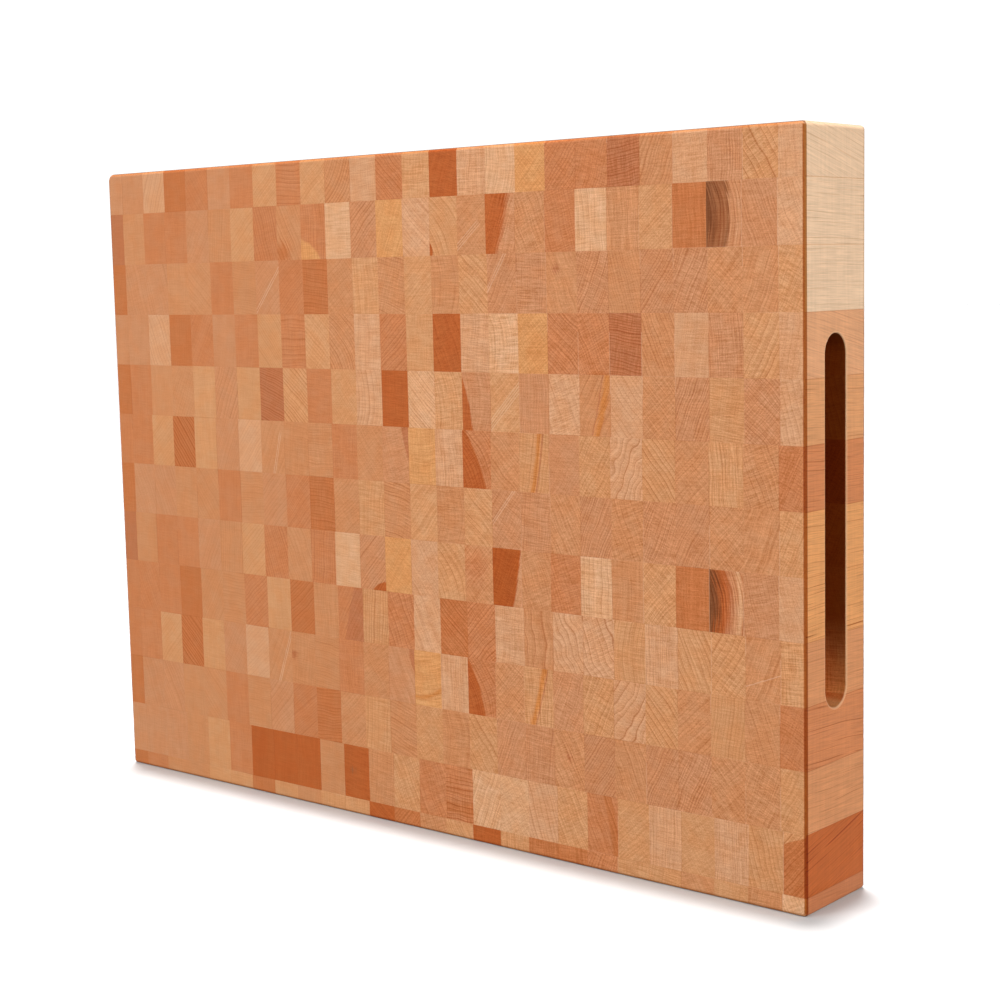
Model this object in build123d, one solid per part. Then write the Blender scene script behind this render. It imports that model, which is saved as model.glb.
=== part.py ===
from build123d import *
import os

# Reversible end-grain butcher-block board, standing on one long edge.
# X runs along its length, Y through its thickness (front working face at -Y) and Z up its width.
# The origin is the centre of the edge that it stands on. All lengths are in millimetres.

INCH = 25.4

# Finished board
BOARD_LENGTH = 20 * INCH
BOARD_THICKNESS = 2.25 * INCH
BOARD_WIDTH = 15 * INCH
CORNER_RADIUS = 2.2  # the outline's corners, seen square to a working face
TOP_LEFT_CORNER_RADIUS = 4.5  # this one is sanded rounder than the other three
ARRIS_RADIUS = 2.0  # the rounding all round both working faces

# Glued blocks. Their fibres run through the thickness, so both working faces are end grain.
STRIP_HEIGHT = 31.45  # a full strip's height
TOP_STRIP_HEIGHT = 25.5  # the top strip is trimmed to make the width
BLOCK_WIDTH = 20.0
FIELD_BLOCK_COUNT = 24  # full-width blocks in each strip, between its two trimmed end blocks
# The strips are staggered, so each has its own left end block; widths from the top strip down.
LEFT_END_WIDTHS = (14.1, 13.3, 13.8, 14.1, 14.3, 13.5, 13.8, 13.3, 14.2, 13.6, 13.8, 15.2, 14.7)
STRIP_COUNT = len(LEFT_END_WIDTHS)

# Hand grips, one routed slot in each short edge, after the glue-up
GRIP_LENGTH = 183.0
GRIP_WIDTH = 20.0
GRIP_DEPTH = 0.75 * INCH
GRIP_MOUTH_RADIUS = 0.8  # the eased border of the mouth

# The cells that divide the board reach this far past it, so that only the blank shapes its outside.
CELL_MARGIN = 5.0


def grip_slot(side):
    """The space of one full-round slot, open through the short edge at side (+1 right, -1 left)."""
    outer_x = BOARD_LENGTH / 2 + CELL_MARGIN
    mouth_plane = Plane(
        origin=(side * outer_x, 0, BOARD_WIDTH / 2), x_dir=(0, 0, 1), z_dir=(-side, 0, 0)
    )
    outline = mouth_plane * SlotOverall(GRIP_LENGTH, GRIP_WIDTH)
    return extrude(outline, amount=GRIP_DEPTH + CELL_MARGIN)


def mouth_edges(board, side):
    """The edges round one grip's mouth, in the plane of the short edge."""
    mouth_x = side * BOARD_LENGTH / 2
    half_length = GRIP_LENGTH / 2
    in_plane = board.edges().filter_by_position(Axis.X, mouth_x - 0.01, mouth_x + 0.01)
    in_width = in_plane.filter_by_position(Axis.Y, -GRIP_WIDTH / 2, GRIP_WIDTH / 2)
    return in_width.filter_by_position(
        Axis.Z, BOARD_WIDTH / 2 - half_length, BOARD_WIDTH / 2 + half_length
    )


def finished_board():
    """The whole board as it is shaped after the glue-up, before it is divided into its blocks."""
    board = Pos(0, 0, BOARD_WIDTH / 2) * Box(BOARD_LENGTH, BOARD_THICKNESS, BOARD_WIDTH)
    base_corners, top_corners = board.edges().filter_by(Axis.Y).group_by(Axis.Z)
    board = fillet(base_corners + top_corners.sort_by(Axis.X)[1:], CORNER_RADIUS)
    top_left_corner = board.edges().filter_by(Axis.Y).group_by(Axis.Z)[-1].sort_by(Axis.X)[0]
    board = fillet(top_left_corner, TOP_LEFT_CORNER_RADIUS)
    face_borders = board.edges().group_by(Axis.Y)
    board = fillet(face_borders[0] + face_borders[-1], ARRIS_RADIUS)
    for side in (-1, 1):
        board -= grip_slot(side)
        board = fillet(mouth_edges(board, side), GRIP_MOUTH_RADIUS)
    return board


def strip_limits(index):
    """A strip's lowest and highest Z, counting from the top strip, 0."""
    top_strip_base = BOARD_WIDTH - TOP_STRIP_HEIGHT
    high = BOARD_WIDTH + CELL_MARGIN if index == 0 else top_strip_base - (index - 1) * STRIP_HEIGHT
    low = -CELL_MARGIN if index == STRIP_COUNT - 1 else top_strip_base - index * STRIP_HEIGHT
    return low, high


def cell(x_limits, z_limits):
    """The rectangular space of one block, as deep as the board is thick and a little more."""
    (x_low, x_high), (z_low, z_high) = x_limits, z_limits
    centre = Pos((x_low + x_high) / 2, 0, (z_low + z_high) / 2)
    return centre * Box(x_high - x_low, BOARD_THICKNESS + 2 * CELL_MARGIN, z_high - z_low)


def blocks(board, x_limits_list, z_limits):
    """The solids of the blocks in these cells. A block that a grip cuts right through gives two."""
    solids = []
    for x_limits in x_limits_list:
        solids += (board & cell(x_limits, z_limits)).solids()
    return Compound(children=solids)


os.makedirs("parts", exist_ok=True)
board = finished_board()
total_volume = 0
for index, left_end_width in enumerate(LEFT_END_WIDTHS):
    z_limits = strip_limits(index)
    field_start = left_end_width - BOARD_LENGTH / 2
    joints_x = [field_start + count * BLOCK_WIDTH for count in range(FIELD_BLOCK_COUNT + 1)]
    left_end = blocks(board, [(-BOARD_LENGTH / 2 - CELL_MARGIN, joints_x[0])], z_limits)
    field = blocks(board, list(zip(joints_x, joints_x[1:])), z_limits)
    right_end = blocks(board, [(joints_x[-1], BOARD_LENGTH / 2 + CELL_MARGIN)], z_limits)
    strip = f"strip_{index + 1:02d}"
    export_step(left_end, f"parts/{strip}_left_end_block.step")
    export_step(field, f"parts/{strip}_field_blocks.step")
    export_step(right_end, f"parts/{strip}_right_end_block.step")
    total_volume += left_end.volume + field.volume + right_end.volume
print(f"board {board.volume:.1f} mm3, its blocks {total_volume:.1f} mm3")
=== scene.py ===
import math

import bpy
from mathutils import Matrix, Vector


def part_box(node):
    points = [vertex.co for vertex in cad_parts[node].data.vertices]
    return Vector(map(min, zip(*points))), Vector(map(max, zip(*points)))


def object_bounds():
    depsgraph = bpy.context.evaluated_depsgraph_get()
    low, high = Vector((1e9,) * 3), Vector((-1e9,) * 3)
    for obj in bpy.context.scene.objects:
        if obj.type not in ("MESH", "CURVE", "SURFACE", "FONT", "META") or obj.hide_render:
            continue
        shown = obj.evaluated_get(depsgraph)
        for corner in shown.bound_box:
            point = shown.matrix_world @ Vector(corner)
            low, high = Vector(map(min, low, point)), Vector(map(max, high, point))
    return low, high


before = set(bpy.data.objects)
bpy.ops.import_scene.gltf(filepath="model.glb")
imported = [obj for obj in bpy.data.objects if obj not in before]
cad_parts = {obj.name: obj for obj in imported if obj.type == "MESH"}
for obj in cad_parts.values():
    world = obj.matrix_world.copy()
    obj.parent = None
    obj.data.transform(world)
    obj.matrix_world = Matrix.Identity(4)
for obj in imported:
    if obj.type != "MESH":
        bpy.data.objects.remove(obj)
cad_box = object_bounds()

# An end-grain board standing on its long edge. Shader lengths are in millimetres and scene lengths in
# metres.
MM_PER_M = 1000.0
BOARD_LOW, BOARD_HIGH = cad_box
STRIP_COUNT = 13
BLOCK_COUNT = 26  # blocks in a strip, with its two trimmed end blocks


# ---------------------------------------------------------------- what each block looks like
# Wood tones as they look in plain light, in sRGB.
TONES = {
    "s": "E0C0A0",  # sapwood, the palest
    "c": "DDA87E",  # cream
    "p": "D79F76",  # pale
    "l": "D39768",  # light
    "y": "D99961",  # straw
    "m": "CD8D60",  # medium
    "k": "CC8D63",  # pinkish
    "a": "C98154",  # amber
    "t": "CF8346",  # bright orange streak
    "o": "C37646",  # orange
    "r": "BD764E",  # reddish brown
    "u": "B8612F",  # rust
    "x": "AE5623",  # deep rust
    "b": "A0623C",  # brown
    "h": "7C4828",  # dark heartwood
}

# How the growth rings cross a block's end: the lines' angle above +X in degrees, their curvature in
# 1/m (positive bulges towards +X, or down for level lines) and how far they wander in mm.
RING_COURSES = {
    "n": (88, 2, 0.8),
    "u": (62, 0, 0.8),
    "U": (43, 0, 0.8),
    "d": (112, 0, 0.8),
    "D": (133, 0, 0.8),
    "e": (178, 2, 0.9),
    "E": (160, 6, 0.8),
    "c": (92, 22, 0.6),
    "j": (88, -18, 0.6),
    "q": (122, 24, 0.6),
    "v": (4, 26, 0.8),
    "s": (88, 4, 3.0),
    "z": (118, -6, 3.2),
    "w": (66, 0, 3.4),
}

# The strips were sawn from eight glued-up panels. Along each panel, left to right: every block's tone,
# the course of its rings, their spacing in half millimetres (hexadecimal) and how bold they are, 0 to 9.
PANELS = {
    "A": (
        "kkpoakalalmpalupcyaarmpklp",
        "nndnunnDeDqnUedncDDdednnun",
        "33544333544344a34443343386",
        "11412113537261333364962583",
    ),
    "B": (
        "rmaakmlamackyplmkmacmlokkp",
        "nnnnunUddnnUuDqUuddnnUncdd",
        "33335444543444744448533434",
        "11112335441624621445341843",
    ),
    "C": (
        "okkmmamkaomlmlmlkkmkmkkmml",
        "nddnDneUUeUnEUcDunduduuUuu",
        "35534335344644664343333344",
        "12312123353462364437466333",
    ),
    "D": (
        "oammlklrlalpuclklkpmpmklkp",
        "nnnununEDnDcnDccUnduDUunDd",
        "333436334336336543a6543337",
        "11121517812616341445436265",
    ),
    "E": (
        "aalolkpmmmamkypamlklplmlma",
        "nnUDnuUueenDdvnqDnuuwDUndE",
        "33443448333446444534856463",
        "11291223231212463525984554",
    ),
    "F": (
        "aaaommalomalapoapmpplpllml",
        "ndnnueUnUnunddDUnszzjnduun",
        "3433444343446c443a87536744",
        "12112341523774883988447633",
    ),
    "G": (
        "kkkmlauuumumlaaccplalplpll",
        "nnnnnnnnnnnnddeuUdddUnUndU",
        "33333333333656554545444364",
        "11111111111455963634242567",
    ),
    "H": (
        "oammllolmlluomlulooallmlmc",
        "nnnnnnnnnnnDUddnnnnunndnnd",
        "44444444444444444444444444",
        "11111111111445413113223223",
    ),
}
STRIP_PANELS = "ABCADECBFECGH"  # from the top strip down
TURNED_STRIPS = {1}  # glued in upside down

# Heartwood and stained patches: strip, block, tone, centre across and up from the block's own centre,
# radius and edge softness, all in mm. The patch is the part of the block inside that circle.
PATCHES = (
    (2, 16, "u", -75.9, 15.8, 80.0, 5.0),
    (2, 16, "x", 1.0, 17.0, 5.0, 9.0),
    (8, 16, "x", -159.4, 32.3, 170.0, 1.5),
    (2, 23, "b", -56.0, 2.0, 59.0, 5.0),
    (2, 23, "h", -52.0, 2.0, 46.5, 8.0),
    (8, 23, "r", -56.0, 0.0, 60.0, 4.0),
    (8, 23, "u", -50.0, 0.0, 51.5, 5.0),
    (8, 23, "h", -50.0, 0.0, 46.0, 8.0),
    (2, 14, "u", -16.0, -14.0, 8.0, 0.5),
    (8, 11, "u", 11.0, -26.0, 15.5, 0.8),
    (6, 12, "r", 64.6, 21.7, 60.0, 1.5),
    (10, 12, "r", 64.5, 27.1, 60.0, 1.5),
    (5, 15, "u", -200.3, -47.0, 200.0, 1.5),
    (6, 15, "u", -96.3, -44.8, 107.0, 1.2),
    (10, 15, "u", -71.8, -26.0, 74.6, 1.2),
    (9, 10, "r", 192.0, -51.0, 200.0, 1.5),
    (2, 9, "y", -14.0, -26.0, 22.0, 1.5),
    (2, 8, "o", -6.0, -12.0, 6.0, 8.0),
    (8, 15, "a", -2.0, 4.0, 9.0, 12.0),
    (4, 19, "o", 2.0, -25.0, 11.5, 3.0),
    (3, 18, "r", -4.0, 7.0, 1.6, 3.5),
    (10, 8, "r", -8.0, 1.5, 2.0, 4.0),
    (11, 18, "r", 0.0, 1.5, 1.6, 3.5),
    (12, 10, "b", -3.0, 1.0, 0.8, 5.0),
    (12, 25, "o", 74.0, -172.0, 200.0, 0.8),
)

# Coloured streaks that follow a ring: as a patch, but a band round that circle, its half width last.
STREAKS = (
    (6, 17, "t", -393.0, 64.0, 400.0, 2.6, 1.5),
    (6, 17, "r", -391.0, 64.0, 400.0, 0.7, 0.3),
    (10, 17, "t", -385.0, 106.8, 400.0, 2.6, 1.7),
    (10, 17, "r", -382.8, 106.8, 400.0, 0.7, 0.3),
    (5, 19, "t", -385.2, 87.2, 400.0, 3.0, 1.8),
    (5, 19, "r", -388.4, 87.2, 400.0, 0.8, 0.3),
    (12, 14, "o", 0.0, 191.6, 200.0, 3.0, 3.2),
    (12, 19, "o", -189.6, -38.0, 200.0, 1.6, 2.4),
    (10, 13, "t", -8.0, 20.0, 31.0, 2.0, 1.0),
    (2, 23, "h", -52.0, 0.0, 54.5, 1.8, 0.2),
    (2, 23, "p", -52.0, 0.0, 60.5, 2.0, 0.4),
    (8, 23, "c", -52.0, 0.0, 60.5, 2.2, 0.9),
)

# Groups of bright ray flecks and scratches: strip, block, angle above +X in degrees, distance of the
# group's middle from the block's centre in mm (positive is below the line), number of lines, and how far
# along the line they reach past the block's centre in mm.
FLECKS = (
    (2, 15, 40, 2.5, 3, 6),
    (5, 16, 46, 1.5, 4, 20),
    (3, 16, 57, -6.5, 2, 20),
    (7, 16, 50, -6.0, 2, 20),
    (6, 7, 76, 4.5, 2, 12),
    (10, 7, 70, 4.5, 2, 20),
    (9, 24, 21, 5.0, 1, 20),
    (3, 7, 51, 1.0, 2, 20),
)

# The short edges show long grain. From the top strip down: each strip's tone there, how steeply its lines
# fall towards the back (negative where they climb) and how bold they are.
EDGE_STRIP_TONES = "sssplayymamur"
EDGE_GRAIN_SLOPES = (0.25, 0.03, 0.02, 0.2, 0.03, 0.02, 0.03, 0.0, 0.04, 0.06, 0.03, -0.25, 0.05)
EDGE_LINE_STRENGTHS = (0.35, 0.5, 0.4, 0.5, 0.65, 0.7, 0.6, 1.0, 0.4, 0.8, 0.7, 0.9, 0.4)


def linear_colour(code):
    """A six-digit sRGB code as the linear colour that shaders take."""
    channels = [int(code[i : i + 2], 16) / 255 for i in (0, 2, 4)]
    return tuple(c / 12.92 if c <= 0.04045 else ((c + 0.055) / 1.055) ** 2.4 for c in channels)


# ---------------------------------------------------------------- node building
class Graph:
    """One node tree, with short calls that add a node and give back its output."""

    def __init__(self, tree):
        self.tree = tree

    def feed(self, socket, value):
        """Links an output into a socket, or sets the socket to a plain value."""
        if isinstance(value, bpy.types.NodeSocket):
            self.tree.links.new(value, socket)
        else:
            socket.default_value = value

    def node(self, kind, inputs=None, **settings):
        made = self.tree.nodes.new("ShaderNode" + kind)
        for name, value in settings.items():
            setattr(made, name, value)
        for name, value in (inputs or {}).items():
            self.feed(made.inputs[name], value)
        return made

    def math(self, operation, *values, clamp=False):
        made = self.node("Math", operation=operation, use_clamp=clamp)
        for socket, value in zip(made.inputs, values):
            self.feed(socket, value)
        return made.outputs[0]

    def add(self, *values):
        total = values[0]
        for value in values[1:]:
            total = self.math("ADD", total, value)
        return total

    def times(self, *values):
        product = values[0]
        for value in values[1:]:
            product = self.math("MULTIPLY", product, value)
        return product

    def step(self, value, start, end):
        """0 at start and 1 at end, eased between them. start may be above end."""
        made = self.node(
            "MapRange",
            {"Value": value, "From Min": start, "From Max": end},
            interpolation_type="SMOOTHSTEP",
        )
        return made.outputs[0]

    def vector(self, x, y, z):
        return self.node("CombineXYZ", {"X": x, "Y": y, "Z": z}).outputs[0]

    def noise(self, vector, detail=2.0, roughness=0.5):
        """Noise of about one feature per unit, around 0.5."""
        made = self.node(
            "TexNoise", {"Vector": vector, "Scale": 1.0, "Detail": detail, "Roughness": roughness}
        )
        return made.outputs[0]

    def swing(self, value, amount):
        """Noise around 0.5 as a swing of about plus or minus amount around 0."""
        return self.math("MULTIPLY_ADD", value, 4 * amount, -2 * amount)

    def crisp(self, value):
        """Noise around 0.5 as sharper streaks, from -0.5 to 0.5."""
        return self.math("SUBTRACT", self.step(value, 0.36, 0.64), 0.5)

    def mix(self, factor, first, second, blend="MIX"):
        made = self.node("Mix", data_type="RGBA", blend_type=blend)
        self.feed(made.inputs[0], factor)
        self.feed(made.inputs[6], first)
        self.feed(made.inputs[7], second)
        return made.outputs[2]

    def scale(self, colour, factor):
        made = self.node("VectorMath", operation="SCALE")
        self.feed(made.inputs[0], colour)
        self.feed(made.inputs["Scale"], factor)
        return made.outputs[0]

    def lookup(self, factor, rows):
        """A ramp that holds one RGBA value for each block; gives its colour and alpha outputs."""
        ramp = self.node("ValToRGB", {"Fac": factor})
        ramp.color_ramp.interpolation = "CONSTANT"
        elements = ramp.color_ramp.elements
        while len(elements) < len(rows):
            elements.new(1.0)
        for index, (element, row) in enumerate(zip(elements, rows)):
            element.position = index / len(rows)
        for element, row in zip(elements, rows):
            element.color = row
        return ramp.outputs["Color"], ramp.outputs["Alpha"]


def new_group(name, inputs, outputs):
    """An empty node group; gives its graph, its inputs by name and its output node."""
    tree = bpy.data.node_groups.new(name, "ShaderNodeTree")
    for socket_name, kind in inputs.items():
        tree.interface.new_socket(socket_name, in_out="INPUT", socket_type="NodeSocket" + kind)
    for socket_name, kind in outputs.items():
        tree.interface.new_socket(socket_name, in_out="OUTPUT", socket_type="NodeSocket" + kind)
    entry = tree.nodes.new("NodeGroupInput")
    exit_node = tree.nodes.new("NodeGroupOutput")
    return Graph(tree), {s.name: s for s in entry.outputs}, exit_node


def use_group(graph, group, inputs):
    """Adds the group to a graph and gives its outputs by name."""
    made = graph.tree.nodes.new("ShaderNodeGroup")
    made.node_tree = group
    for name, value in inputs.items():
        graph.feed(made.inputs[name], value)
    return {s.name: s for s in made.outputs}


# ---------------------------------------------------------------- shared node groups
BLOCK_WIDTH = 20.0


def block_cell_group():
    """Which block of its strip a point is in, and where in that block."""
    graph, given, out = new_group(
        "block cell",
        {
            "First Joint": "Float", "Centre": "Float", "Half Height": "Float", "Turn": "Float",
            "Strip": "Float",
        },
        {
            "X": "Float", "Y": "Float", "Z": "Float", "Block": "Float", "Lookup": "Float",
            "Across": "Float", "Up": "Float", "Seed": "Float", "Seed Colour": "Color",
            "Joint": "Float", "Glue": "Float",
        },
    )
    place = graph.node("TexCoord").outputs["Object"]
    parts = graph.node("SeparateXYZ", {"Vector": graph.scale(place, MM_PER_M)}).outputs
    x, y, z = parts
    along = graph.math("DIVIDE", graph.math("SUBTRACT", x, given["First Joint"]), BLOCK_WIDTH)
    whole = graph.math("FLOOR", along)
    block = graph.math("MINIMUM", graph.math("MAXIMUM", graph.add(whole, 1.0), 0.0), BLOCK_COUNT - 1.0)
    from_joint = graph.math("SUBTRACT", along, graph.add(block, -0.5))
    across = graph.times(from_joint, BLOCK_WIDTH)
    height = graph.math("SUBTRACT", z, given["Centre"])
    seed = graph.node("TexWhiteNoise", {"Vector": graph.vector(block, given["Strip"], 7.0)})
    results = {
        "X": x,
        "Y": y,
        "Z": z,
        "Block": block,
        "Lookup": graph.math("DIVIDE", graph.add(block, 0.5), float(BLOCK_COUNT)),
        "Across": across,
        "Up": graph.times(height, given["Turn"]),
        "Seed": seed.outputs["Value"],
        "Seed Colour": seed.outputs["Color"],
        "Joint": graph.math("SUBTRACT", BLOCK_WIDTH / 2, graph.math("ABSOLUTE", across)),
        "Glue": graph.math("SUBTRACT", given["Half Height"], graph.math("ABSOLUTE", height)),
    }
    for name, value in results.items():
        graph.feed(out.inputs[name], value)
    return graph.tree


MAX_CURVATURE = 0.03  # 1/mm at either end of the lookup's range
MAX_SPACING = 8.0  # mm
MAX_WANDER = 4.0  # mm


def ring_group():
    """Growth rings on a block's end: a thin dark line where each ring closes."""
    graph, given, out = new_group(
        "growth rings",
        {
            "Across": "Float", "Up": "Float", "Seed": "Float", "Angle": "Float",
            "Curvature": "Float", "Spacing": "Float", "Wander": "Float",
        },
        {
            "Radial": "Float", "Tangential": "Float", "Line": "Float", "Late": "Float", "Early": "Float",
            "Slow": "Float", "Fibre": "Float",
        },
    )
    angle = graph.add(given["Angle"], graph.math("MULTIPLY_ADD", given["Seed"], 0.24, -0.12))
    sine, cosine = graph.math("SINE", angle), graph.math("COSINE", angle)
    radial = graph.math(
        "SUBTRACT", graph.times(given["Across"], sine), graph.times(given["Up"], cosine)
    )
    tangential = graph.add(graph.times(given["Across"], cosine), graph.times(given["Up"], sine))
    offset = graph.times(given["Seed"], 90.0)
    spot = graph.vector(
        graph.times(given["Across"], 0.06), graph.times(given["Up"], 0.06), offset
    )
    wander = graph.times(
        graph.math("MULTIPLY_ADD", graph.noise(spot, 1.0), 4.0, -2.0), given["Wander"]
    )
    bend = graph.times(given["Curvature"], 0.5, tangential, tangential)
    ring_place = graph.add(radial, bend, wander)
    phase = graph.math("DIVIDE", ring_place, given["Spacing"])
    uneven = graph.noise(graph.vector(graph.times(phase, 0.37), offset, 3.0), 1.0)
    turns = graph.add(phase, graph.math("MULTIPLY", uneven, 2.2), graph.times(given["Seed"], 7.0))
    part = graph.math("FRACT", turns)
    from_middle = graph.math("ABSOLUTE", graph.math("SUBTRACT", part, 0.5))
    nearest = graph.math("SUBTRACT", 0.5, from_middle)
    distance = graph.times(nearest, given["Spacing"])
    ring_number = graph.math("FLOOR", graph.add(turns, 0.5))
    ring_draw = graph.node("TexWhiteNoise", {"Vector": graph.vector(ring_number, offset, 1.0)})
    line = graph.step(distance, 0.42, 0.06)
    slow = graph.noise(graph.vector(graph.times(ring_place, 0.14), offset, 9.0), 2.0)
    results = {
        "Radial": ring_place,
        "Tangential": tangential,
        "Line": graph.times(line, graph.math("MULTIPLY_ADD", ring_draw.outputs["Value"], 0.7, 0.3)),
        "Late": graph.math("POWER", part, 3.0),
        "Early": graph.math("POWER", graph.math("SUBTRACT", 1.0, part), 4.0),
        "Slow": slow,
        "Fibre": graph.noise(
            graph.vector(graph.times(ring_place, 1.25), graph.times(tangential, 0.06), offset), 2.0, 0.6
        ),
    }
    for name, value in results.items():
        graph.feed(out.inputs[name], value)
    return graph.tree


def patch_group():
    """Mixes a tone into the part of one block inside a circle, or near that circle if Band is above 0."""
    graph, given, out = new_group(
        "stained patch",
        {
            "Colour": "Color", "Across": "Float", "Up": "Float", "Wobble": "Float", "Block": "Float",
            "Chosen": "Float", "Centre Across": "Float", "Centre Up": "Float",
            "Radius": "Float", "Softness": "Float", "Band": "Float", "Tone": "Color",
        },
        {"Colour": "Color"},
    )
    across = graph.math("SUBTRACT", given["Across"], given["Centre Across"])
    up = graph.math("SUBTRACT", given["Up"], given["Centre Up"])
    squared = graph.add(graph.times(across, across), graph.times(up, up))
    wobble = graph.times(given["Wobble"], given["Softness"])
    outside = graph.add(graph.math("SUBTRACT", graph.math("SQRT", squared), given["Radius"]), wobble)
    banded = graph.math("SUBTRACT", graph.math("ABSOLUTE", outside), given["Band"])
    is_band = graph.math("GREATER_THAN", given["Band"], 0.0)
    edge = graph.add(
        outside, graph.times(is_band, graph.math("SUBTRACT", banded, outside))
    )
    inside = graph.step(edge, graph.times(given["Softness"], 0.5), graph.times(given["Softness"], -0.5))
    here = graph.math("COMPARE", given["Block"], given["Chosen"], 0.5)
    graph.feed(
        out.inputs["Colour"], graph.mix(graph.times(inside, here), given["Colour"], given["Tone"])
    )
    return graph.tree


def fleck_group():
    """A few parallel bright lines across one block."""
    graph, given, out = new_group(
        "bright flecks",
        {
            "Amount": "Float", "Across": "Float", "Up": "Float", "Wobble": "Float", "Block": "Float",
            "Chosen": "Float", "Angle": "Float", "Offset": "Float", "Count": "Float", "Reach": "Float",
        },
        {"Amount": "Float"},
    )
    gap = 1.3
    below = graph.math(
        "SUBTRACT",
        graph.times(given["Across"], graph.math("SINE", given["Angle"])),
        graph.times(given["Up"], graph.math("COSINE", given["Angle"])),
    )
    place = graph.add(
        graph.math("SUBTRACT", below, given["Offset"]), graph.times(given["Wobble"], 0.3)
    )
    in_group = graph.math(
        "LESS_THAN", graph.math("ABSOLUTE", place), graph.times(given["Count"], gap / 2)
    )
    shifted = graph.add(graph.math("DIVIDE", place, gap), graph.times(given["Count"], 0.5))
    from_line = graph.times(
        graph.math("ABSOLUTE", graph.math("SUBTRACT", graph.math("FRACT", shifted), 0.5)), gap
    )
    line = graph.step(from_line, 0.34, 0.1)
    along = graph.add(
        graph.times(given["Across"], graph.math("COSINE", given["Angle"])),
        graph.times(given["Up"], graph.math("SINE", given["Angle"])),
    )
    line = graph.times(line, graph.step(graph.math("SUBTRACT", along, given["Reach"]), 0.0, -3.0))
    here = graph.math("COMPARE", given["Block"], given["Chosen"], 0.5)
    graph.feed(out.inputs["Amount"], graph.add(given["Amount"], graph.times(line, in_group, here)))
    return graph.tree


CELL = block_cell_group()
RINGS = ring_group()
PATCH = patch_group()
FLECK = fleck_group()
MM_TO_SHORT_EDGE = BOARD_HIGH.x * MM_PER_M
MID_HEIGHT = (BOARD_HIGH.z + BOARD_LOW.z) / 2 * MM_PER_M
GRIP_END_RADIUS = 10.0
GRIP_STRAIGHT_HALF_LENGTH = 81.5
JOINT_ROWS_PER_MM = 0.0318  # about one row of joints for each strip

# What is left of the wood's colour under each of these
DARK_LINE = (0.66, 0.42, 0.25, 1.0)  # a ring or glue line on end grain
EDGE_LINE = (0.54, 0.33, 0.19, 1.0)  # a line of the long grain
SIDE_ARRIS = (0.44, 0.23, 0.07, 1.0)  # the darker rounded border at the sides and below
TOP_ARRIS_PAINTED_SHADE = (0.34, 0.20, 0.12, 1.0)  # painted shade on the outermost border on top, where it turns away from the light
INNER_TOP_ARRIS = (0.94, 0.76, 0.56, 1.0)  # the rest of the border on top
GRIP_PAINTED_SHADE = (0.32, 0.12, 0.02, 1.0)  # painted shade inside the grip
LOWER_GRIP_PAINTED_SHADE = (0.95, 0.74, 0.46, 1.0)  # lighter painted shade at the grip's lower end, painted as lit from above

# Colours mixed over the wood
PALE_LINE = (0.86, 0.60, 0.41, 1.0)  # sanded glue and ray flecks
PALE_LONG_GRAIN = (0.72, 0.50, 0.31, 1.0)
# a painted highlight on the rounded rim of the grip's mouth
MOUTH_PAINTED_HIGHLIGHT = (0.92, 0.62, 0.36, 1.0)


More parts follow.
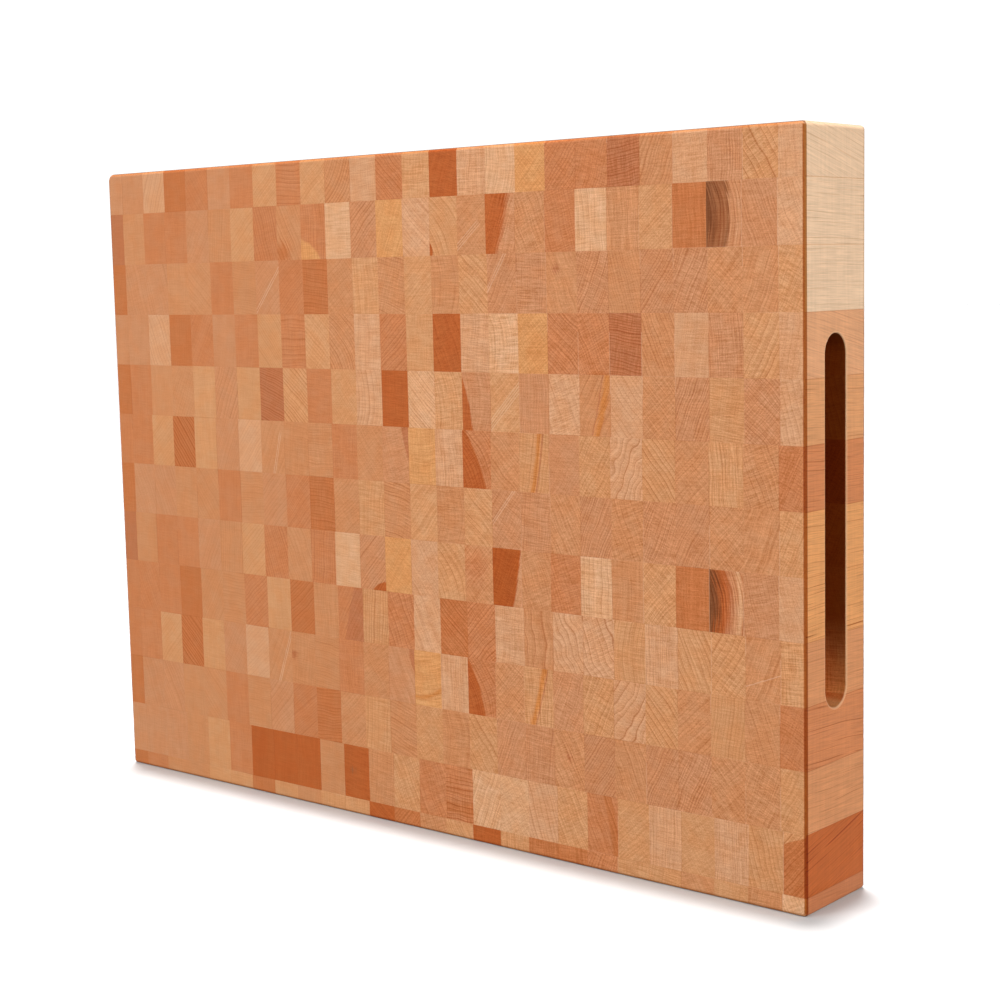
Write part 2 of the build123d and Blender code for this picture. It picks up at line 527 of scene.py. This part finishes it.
def maple_group():
    """A block's oiled surface, from its tone and rings: end grain on the faces, long grain on the edges."""
    graph, given, out = new_group(
        "oiled maple",
        {
            "X": "Float", "Y": "Float", "Z": "Float", "Across": "Float", "Up": "Float",
            "Block": "Float", "Seed": "Float", "Seed Colour": "Color", "Joint": "Float", "Glue": "Float",
            "Radial": "Float", "Tangential": "Float", "Line": "Float", "Late": "Float", "Early": "Float",
            "Slow": "Float", "Fibre": "Float", "Strength": "Float", "Flecks": "Float",
            "Tone": "Color", "Edge Tone": "Color", "Edge Slope": "Float", "Edge Lines": "Float",
        },
        {"Colour": "Color", "Roughness": "Float", "Height": "Float"},
    )
    x, y, z, seed = given["X"], given["Y"], given["Z"], given["Seed"]
    offset = graph.times(seed, 60.0)
    normal = graph.node("TexCoord").outputs["Normal"]
    facing_x, facing_y, facing_z = (
        graph.math("ABSOLUTE", axis) for axis in graph.node("SeparateXYZ", {"Vector": normal}).outputs
    )
    end_grain = graph.step(facing_y, 0.45, 0.8)
    shares = graph.node("SeparateColor", {"Color": given["Seed Colour"]}).outputs
    hatch_share, ray_share = shares[0], shares[1]

    def darkened(colour, factor, multiplier=DARK_LINE):
        return graph.mix(factor, colour, graph.mix(1.0, colour, multiplier, "MULTIPLY"))

    # End grain: soft mottling, fibres along the rings, rays across them, sanding marks along the board
    mottle = graph.noise(graph.vector(graph.times(x, 0.12), offset, graph.times(z, 0.12)), 3.0)
    tint = graph.noise(
        graph.vector(graph.times(x, 0.09), graph.add(offset, 30.0), graph.times(z, 0.09)), 2.0
    )
    blotch = graph.noise(graph.vector(graph.times(x, 0.018), 4.0, graph.times(z, 0.018)), 2.0)
    rays = graph.crisp(
        graph.noise(
            graph.vector(graph.times(given["Radial"], 0.1), graph.times(given["Tangential"], 1.5), offset),
            2.0,
        )
    )
    fibres = graph.crisp(given["Fibre"])
    sanding = graph.crisp(
        graph.noise(graph.vector(graph.times(x, 0.06), 0.0, graph.times(z, 1.5)), 3.0, 0.6)
    )
    pores = graph.noise(graph.vector(graph.times(x, 1.6), offset, graph.times(z, 1.6)), 2.0, 0.7)
    coarseness = graph.math("MULTIPLY_ADD", graph.step(x, -150.0, 70.0), 0.85, 0.32)
    brightness = graph.add(
        1.0,
        graph.swing(mottle, 0.035),
        graph.swing(blotch, 0.02),
        graph.swing(given["Slow"], 0.03),
        graph.times(rays, coarseness, graph.math("MULTIPLY_ADD", ray_share, 0.13, 0.05)),
        graph.times(fibres, coarseness, graph.math("MULTIPLY_ADD", hatch_share, 0.11, 0.05)),
        graph.times(sanding, coarseness, 0.11),
        graph.times(graph.swing(pores, 0.14), coarseness),
        graph.times(given["Early"], given["Strength"], 0.09),
        graph.math("MULTIPLY_ADD", seed, 0.04, -0.02),
    )
    warm = graph.mix(graph.step(tint, 0.36, 0.64), (1.01, 0.98, 0.94, 1.0), (0.99, 1.02, 1.05, 1.0))
    deepened = graph.vector(  # darker wood is also redder
        graph.math("MULTIPLY_ADD", brightness, 0.8, 0.2),
        graph.math("MULTIPLY_ADD", brightness, 1.3, -0.3),
        graph.math("MULTIPLY_ADD", brightness, 1.9, -0.9),
    )
    toned = graph.mix(1.0, given["Tone"], deepened, "MULTIPLY")
    ground = graph.mix(1.0, toned, warm, "MULTIPLY")
    line_amount = graph.times(
        given["Strength"], graph.add(graph.times(given["Line"], 0.68), graph.times(given["Late"], 0.3))
    )
    lined = darkened(ground, line_amount)
    flecked = graph.mix(graph.times(given["Flecks"], 0.36), lined, PALE_LINE)

    # Long grain, with its streaks along the thickness
    level = graph.add(z, graph.times(y, given["Edge Slope"]))
    streaks = graph.noise(
        graph.vector(graph.times(x, 0.9), graph.times(y, 0.02), graph.times(level, 0.9)), 3.0, 0.6
    )
    fine_streaks = graph.noise(
        graph.vector(graph.times(x, 3.0), graph.times(y, 0.06), graph.times(level, 1.6)), 2.0, 0.6
    )
    saw_marks = graph.noise(graph.vector(0.0, graph.times(y, 0.55), graph.times(z, 0.03)), 2.0)
    edge_mottle = graph.noise(
        graph.vector(graph.times(x, 0.06), graph.times(y, 0.06), graph.times(z, 0.06)), 2.0
    )
    edge_brightness = graph.add(
        1.0,
        graph.swing(streaks, 0.07),
        graph.swing(fine_streaks, 0.13),
        graph.swing(saw_marks, 0.045),
        graph.swing(edge_mottle, 0.05),
    )
    own_edge_tone = graph.mix(0.62, given["Tone"], PALE_LONG_GRAIN)
    edge_tone = graph.mix(graph.step(facing_x, 0.4, 0.8), own_edge_tone, given["Edge Tone"])
    wander = graph.noise(
        graph.vector(graph.times(x, 0.1), graph.times(y, 0.03), graph.times(level, 0.04)), 0.0
    )
    layer = graph.add(graph.times(level, 0.42), graph.times(x, 0.2), graph.times(wander, 1.0))
    uneven = graph.noise(graph.vector(graph.times(layer, 0.6), 0.0, 0.0), 1.0)
    layer_part = graph.math("FRACT", graph.add(layer, graph.times(uneven, 3.0)))
    broken = graph.noise(graph.vector(0.0, graph.times(y, 0.025), graph.times(level, 0.4)), 2.0)
    edge_line = graph.times(graph.step(layer_part, 0.84, 0.98), graph.step(broken, 0.4, 0.58))
    long_grain = darkened(
        graph.scale(edge_tone, edge_brightness),
        graph.times(edge_line, given["Edge Lines"]),
        EDGE_LINE,
    )
    wood = graph.mix(end_grain, long_grain, flecked)

    # Glue lines: some dark, some pale where the glue has been sanded
    glue = graph.step(given["Glue"], 0.32, 0.06)
    joint = graph.step(given["Joint"], 0.36, 0.08)
    joint_number = graph.add(given["Block"], graph.math("GREATER_THAN", given["Across"], 0.0))
    joint_row = graph.math("FLOOR", graph.times(z, JOINT_ROWS_PER_MM))
    joint_draw = graph.node("TexWhiteNoise", {"Vector": graph.vector(joint_number, joint_row, 5.0)})
    joint_seed = joint_draw.outputs["Value"]
    glue_tone = graph.noise(graph.vector(graph.times(x, 0.02), 0.0, graph.times(z, 0.1)), 1.0)
    wood = darkened(wood, graph.times(glue, graph.step(glue_tone, 0.5, 0.7), 0.35))
    wood = darkened(wood, graph.times(joint, graph.step(joint_seed, 0.6, 0.9), 0.35))
    to_right = graph.step(x, 20.0, 150.0)
    pale = graph.times(
        to_right,
        graph.add(
            graph.times(glue, graph.step(glue_tone, 0.5, 0.35), 0.1),
            graph.times(joint, graph.step(joint_seed, 0.45, 0.2), 0.22),
        ),
    )
    wood = graph.mix(graph.times(pale, end_grain), wood, PALE_LINE)
    long_face = graph.math("SUBTRACT", 1.0, end_grain)
    wood = darkened(wood, graph.times(glue, long_face, 0.55))

    # The rounded border of each working face is drawn darker: across its whole width at the sides and
    # below; on top, painted shade on its outermost part where it turns away from the light, and a slight
    # darkening on the rest.
    near_face = graph.step(graph.math("ABSOLUTE", y), 22.0, 26.0)
    turned = graph.times(graph.step(facing_y, 0.995, 0.85), graph.step(facing_y, 0.03, 0.15), near_face)
    upward = graph.step(facing_z, 0.1, 0.6)
    sideways = graph.times(turned, graph.math("SUBTRACT", 1.0, upward))
    wood = darkened(wood, sideways, SIDE_ARRIS)
    # Painted shade on the outermost part of the top border, where it turns away from the light.
    outermost = graph.step(facing_y, 0.8, 0.45)
    wood = darkened(wood, graph.times(turned, upward, outermost), TOP_ARRIS_PAINTED_SHADE)
    inner = graph.times(turned, upward, graph.math("SUBTRACT", 1.0, outermost))
    wood = darkened(wood, inner, INNER_TOP_ARRIS)

    # Painted shade inside the grips, lighter towards their lower ends as if lit from above, with a painted
    # highlight round the mouth.
    from_middle = graph.math("ABSOLUTE", graph.math("SUBTRACT", z, MID_HEIGHT))
    past_straight = graph.math("SUBTRACT", from_middle, GRIP_STRAIGHT_HALF_LENGTH)
    past_straight = graph.math("MAXIMUM", past_straight, 0.0)
    squared = graph.add(graph.times(y, y), graph.times(past_straight, past_straight))
    from_axis = graph.math("SQRT", squared)
    from_wall = graph.math("SUBTRACT", from_axis, GRIP_END_RADIUS)
    depth = graph.math("SUBTRACT", MM_TO_SHORT_EDGE, graph.math("ABSOLUTE", x))
    end_zone = graph.step(depth, 25.0, 22.0)
    in_grip = graph.times(graph.step(depth, 0.3, 1.0), graph.step(from_wall, 0.7, 0.3), end_zone)
    # The lower end gets lighter painted shade, as if lit from above.
    near_lower_end = graph.step(z, MID_HEIGHT - 45.0, MID_HEIGHT - 90.0)
    grip_painted_shade = graph.mix(near_lower_end, GRIP_PAINTED_SHADE, LOWER_GRIP_PAINTED_SHADE)
    wood = darkened(wood, in_grip, grip_painted_shade)
    # Painted highlight along the rounded rim of the grip's mouth.
    mouth = graph.times(graph.step(from_wall, 1.1, 0.7), graph.step(depth, 0.9, 0.4), end_zone)
    wood = graph.mix(graph.times(mouth, 0.3), wood, MOUTH_PAINTED_HIGHLIGHT)

    roughness = graph.add(0.55, graph.swing(mottle, 0.05), graph.times(end_grain, 0.07))
    height = graph.add(
        graph.times(given["Line"], given["Strength"], end_grain, 0.5),
        graph.times(graph.add(rays, sanding), end_grain, 0.2),
        graph.times(fine_streaks, graph.math("SUBTRACT", 1.0, end_grain), 0.5),
        graph.times(graph.math("MAXIMUM", glue, joint), -0.8),
    )
    for name, value in {"Colour": wood, "Roughness": roughness, "Height": height}.items():
        graph.feed(out.inputs[name], value)
    return graph.tree


MAPLE = maple_group()
OIL_TINT = (1.06, 1.03, 1.0)  # the oil leaves every listed tone a little warmer


def oiled(code):
    return tuple(channel * tint for channel, tint in zip(linear_colour(code), OIL_TINT)) + (1.0,)


CELL_VALUES = ("X", "Y", "Z", "Across", "Up", "Block", "Seed", "Seed Colour", "Joint", "Glue")
RING_VALUES = ("Radial", "Tangential", "Line", "Late", "Early", "Slow", "Fibre")


def strip_material(number):
    """The material of one strip: its panel's blocks, in their own tones and rings."""
    tones, courses, spacings, strengths = PANELS[STRIP_PANELS[number - 1]]
    low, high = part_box(f"strip_{number:02d}_field_blocks")
    material = bpy.data.materials.new(f"maple_strip_{number:02d}")
    material.use_nodes = True
    graph = Graph(material.node_tree)
    graph.tree.nodes.clear()
    cell = use_group(
        graph,
        CELL,
        {
            "First Joint": low.x * MM_PER_M,
            "Centre": (low.z + high.z) / 2 * MM_PER_M,
            "Half Height": (high.z - low.z) / 2 * MM_PER_M,
            "Turn": -1.0 if number in TURNED_STRIPS else 1.0,
            "Strip": float(number),
        },
    )
    tone, strength = graph.lookup(
        cell["Lookup"],
        [oiled(TONES[letter])[:3] + (int(digit) / 9,) for letter, digit in zip(tones, strengths)],
    )
    course_rows = []
    for letter, digit in zip(courses, spacings):
        angle, curvature, wander = RING_COURSES[letter]
        course_rows.append(
            (
                angle / 180,
                0.5 + 0.5 * curvature / MM_PER_M / MAX_CURVATURE,
                wander / MAX_WANDER,
                int(digit, 16) / 2 / MAX_SPACING,
            )
        )
    course, spacing = graph.lookup(cell["Lookup"], course_rows)
    angle, curvature, wander = graph.node("SeparateColor", {"Color": course}).outputs
    rings = use_group(
        graph,
        RINGS,
        {
            "Across": cell["Across"],
            "Up": cell["Up"],
            "Seed": cell["Seed"],
            "Angle": graph.times(angle, math.pi),
            "Curvature": graph.math("MULTIPLY_ADD", curvature, 2 * MAX_CURVATURE, -MAX_CURVATURE),
            "Spacing": graph.times(spacing, MAX_SPACING),
            "Wander": graph.times(wander, MAX_WANDER),
        },
    )
    wobble = graph.swing(rings["Fibre"], 0.5)
    place = {"Across": cell["Across"], "Up": cell["Up"], "Wobble": wobble, "Block": cell["Block"]}
    marks = [(*patch, 0.0) for patch in PATCHES] + list(STREAKS)
    for strip, block, letter, across, up, radius, softness, band in marks:
        if strip == number:
            settings = {
                "Colour": tone,
                "Chosen": float(block),
                "Centre Across": across,
                "Centre Up": up,
                "Radius": radius,
                "Softness": softness,
                "Band": band,
                "Tone": oiled(TONES[letter]),
            }
            tone = use_group(graph, PATCH, {**place, **settings})["Colour"]
    flecks = 0.0
    for strip, block, degrees, offset, count, reach in FLECKS:
        if strip == number:
            settings = {
                "Amount": flecks,
                "Chosen": float(block),
                "Angle": math.radians(degrees),
                "Offset": offset,
                "Count": float(count),
                "Reach": float(reach),
            }
            flecks = use_group(graph, FLECK, {**place, **settings})["Amount"]
    surface = use_group(
        graph,
        MAPLE,
        {
            **{name: cell[name] for name in CELL_VALUES},
            **{name: rings[name] for name in RING_VALUES},
            "Strength": strength,
            "Flecks": flecks,
            "Tone": tone,
            "Edge Tone": oiled(TONES[EDGE_STRIP_TONES[number - 1]]),
            "Edge Slope": EDGE_GRAIN_SLOPES[number - 1],
            "Edge Lines": EDGE_LINE_STRENGTHS[number - 1],
        },
    )
    bump = graph.node("Bump", {"Strength": 0.35, "Distance": 0.0001, "Height": surface["Height"]})
    shader = graph.node(
        "BsdfPrincipled",
        {"Base Color": surface["Colour"], "Roughness": surface["Roughness"], "Normal": bump.outputs[0]},
    )
    shader.inputs["Specular IOR Level"].default_value = 0.1
    output = graph.node("OutputMaterial")
    graph.tree.links.new(shader.outputs[0], output.inputs["Surface"])
    return material


for strip_number in range(1, STRIP_COUNT + 1):
    strip_finish = strip_material(strip_number)
    for piece in ("left_end_block", "field_blocks", "right_end_block"):
        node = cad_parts[f"strip_{strip_number:02d}_{piece}"]
        node.data.materials.clear()
        node.data.materials.append(strip_finish)


# ---------------------------------------------------------------- camera
def direction(azimuth, elevation):
    """The unit vector towards an azimuth and elevation in radians; azimuth 0 is -Y, a right angle +X."""
    level = math.cos(elevation)
    return Vector((math.sin(azimuth) * level, -math.cos(azimuth) * level, math.sin(elevation)))


CAMERA_PLACE = (0.7137, -0.7968, 0.3139)
CAMERA_AZIMUTH = math.radians(40.16)
CAMERA_ELEVATION = math.radians(6.86)
CAMERA_ROLL = math.radians(-1.25)
CAMERA_LENS = 67.9


def make_camera():
    back = direction(CAMERA_AZIMUTH, CAMERA_ELEVATION)
    right = (-back).cross(Vector((0, 0, 1))).normalized()
    up = back.cross(right)
    rolled_right = math.cos(CAMERA_ROLL) * right + math.sin(CAMERA_ROLL) * up
    rolled_up = math.cos(CAMERA_ROLL) * up - math.sin(CAMERA_ROLL) * right
    camera = bpy.data.objects.new("camera", bpy.data.cameras.new("camera"))
    camera.data.lens = CAMERA_LENS
    camera.data.sensor_width = 36.0
    turn = Matrix((rolled_right, rolled_up, back)).transposed().to_4x4()
    camera.matrix_world = Matrix.Translation(CAMERA_PLACE) @ turn
    bpy.context.scene.collection.objects.link(camera)
    bpy.context.scene.camera = camera


# ---------------------------------------------------------------- studio
STUDIO_RADIUS = 14.0
SOFTBOX_DISTANCE = 2.1
SKY_LIGHT = 0.3
FLOOR_BOUNCE = 0.15
# Each softbox: name, azimuth and elevation in degrees, side in metres, power in watts
SOFTBOXES = (("front_softbox", -18, 19, 1.3, 30.5), ("side_softbox", 78, 13, 1.1, 29))


def plain_material(name, grey, glow=0.0):
    material = bpy.data.materials.new(name)
    material.use_nodes = True
    shader = material.node_tree.nodes["Principled BSDF"]
    shader.inputs["Base Color"].default_value = (grey, grey, grey, 1.0)
    shader.inputs["Roughness"].default_value = 0.9
    shader.inputs["Specular IOR Level"].default_value = 0.0
    shader.inputs["Emission Color"].default_value = (1.0, 1.0, 1.0, 1.0)
    shader.inputs["Emission Strength"].default_value = glow
    return material


def make_floor():
    """A pale floor. Its bounce on to the board is part of the surrounding light instead."""
    bpy.ops.mesh.primitive_circle_add(vertices=96, radius=STUDIO_RADIUS, fill_type="NGON")
    floor = bpy.context.object
    floor.name = "floor"
    floor.data.materials.append(plain_material("floor", 0.7))
    floor.visible_diffuse = False


def make_backdrop():
    """A white surround that only the camera sees, so that it adds no light of its own."""
    bpy.ops.mesh.primitive_uv_sphere_add(segments=48, ring_count=24, radius=STUDIO_RADIUS * 0.99)
    backdrop = bpy.context.object
    backdrop.name = "backdrop"
    backdrop.data.materials.append(plain_material("backdrop", 0.0, glow=1.1))
    backdrop.visible_diffuse = False
    backdrop.visible_glossy = False
    backdrop.visible_shadow = False


def add_lamp(name, kind, azimuth, elevation):
    """A lamp that shines from this azimuth and elevation, in degrees."""
    lamp = bpy.data.lights.new(name, kind)
    holder = bpy.data.objects.new(name, lamp)
    towards = direction(math.radians(azimuth), math.radians(elevation))
    holder.rotation_mode = "QUATERNION"
    holder.rotation_quaternion = towards.to_track_quat("Z", "Y")
    holder.location = (BOARD_LOW + BOARD_HIGH) / 2 + towards * SOFTBOX_DISTANCE
    bpy.context.scene.collection.objects.link(holder)
    return lamp


def make_world():
    """Even light from above, and a weaker bounce from below."""
    world = bpy.data.worlds.new("studio")
    world.use_nodes = True
    graph = Graph(world.node_tree)
    direction = graph.node("TexCoord").outputs["Generated"]
    height = graph.node("SeparateXYZ", {"Vector": direction}).outputs["Z"]
    from_above = graph.times(graph.step(height, -0.1, 0.1), SKY_LIGHT - FLOOR_BOUNCE)
    level = graph.add(FLOOR_BOUNCE, from_above)
    graph.feed(world.node_tree.nodes["Background"].inputs["Strength"], level)
    world.node_tree.nodes["Background"].inputs["Color"].default_value = (1.0, 1.0, 1.0, 1.0)
    bpy.context.scene.world = world


def make_lights():
    overhead = add_lamp("overhead", "SUN", 225, 86.5)
    overhead.energy = 3.8
    overhead.angle = math.radians(4)
    for name, azimuth, elevation, side, power in SOFTBOXES:
        softbox = add_lamp(name, "AREA", azimuth, elevation)
        softbox.shape = "SQUARE"
        softbox.size = side
        softbox.energy = power


make_camera()
make_floor()
make_backdrop()
make_world()
make_lights()
bpy.context.scene.view_settings.view_transform = "Standard"
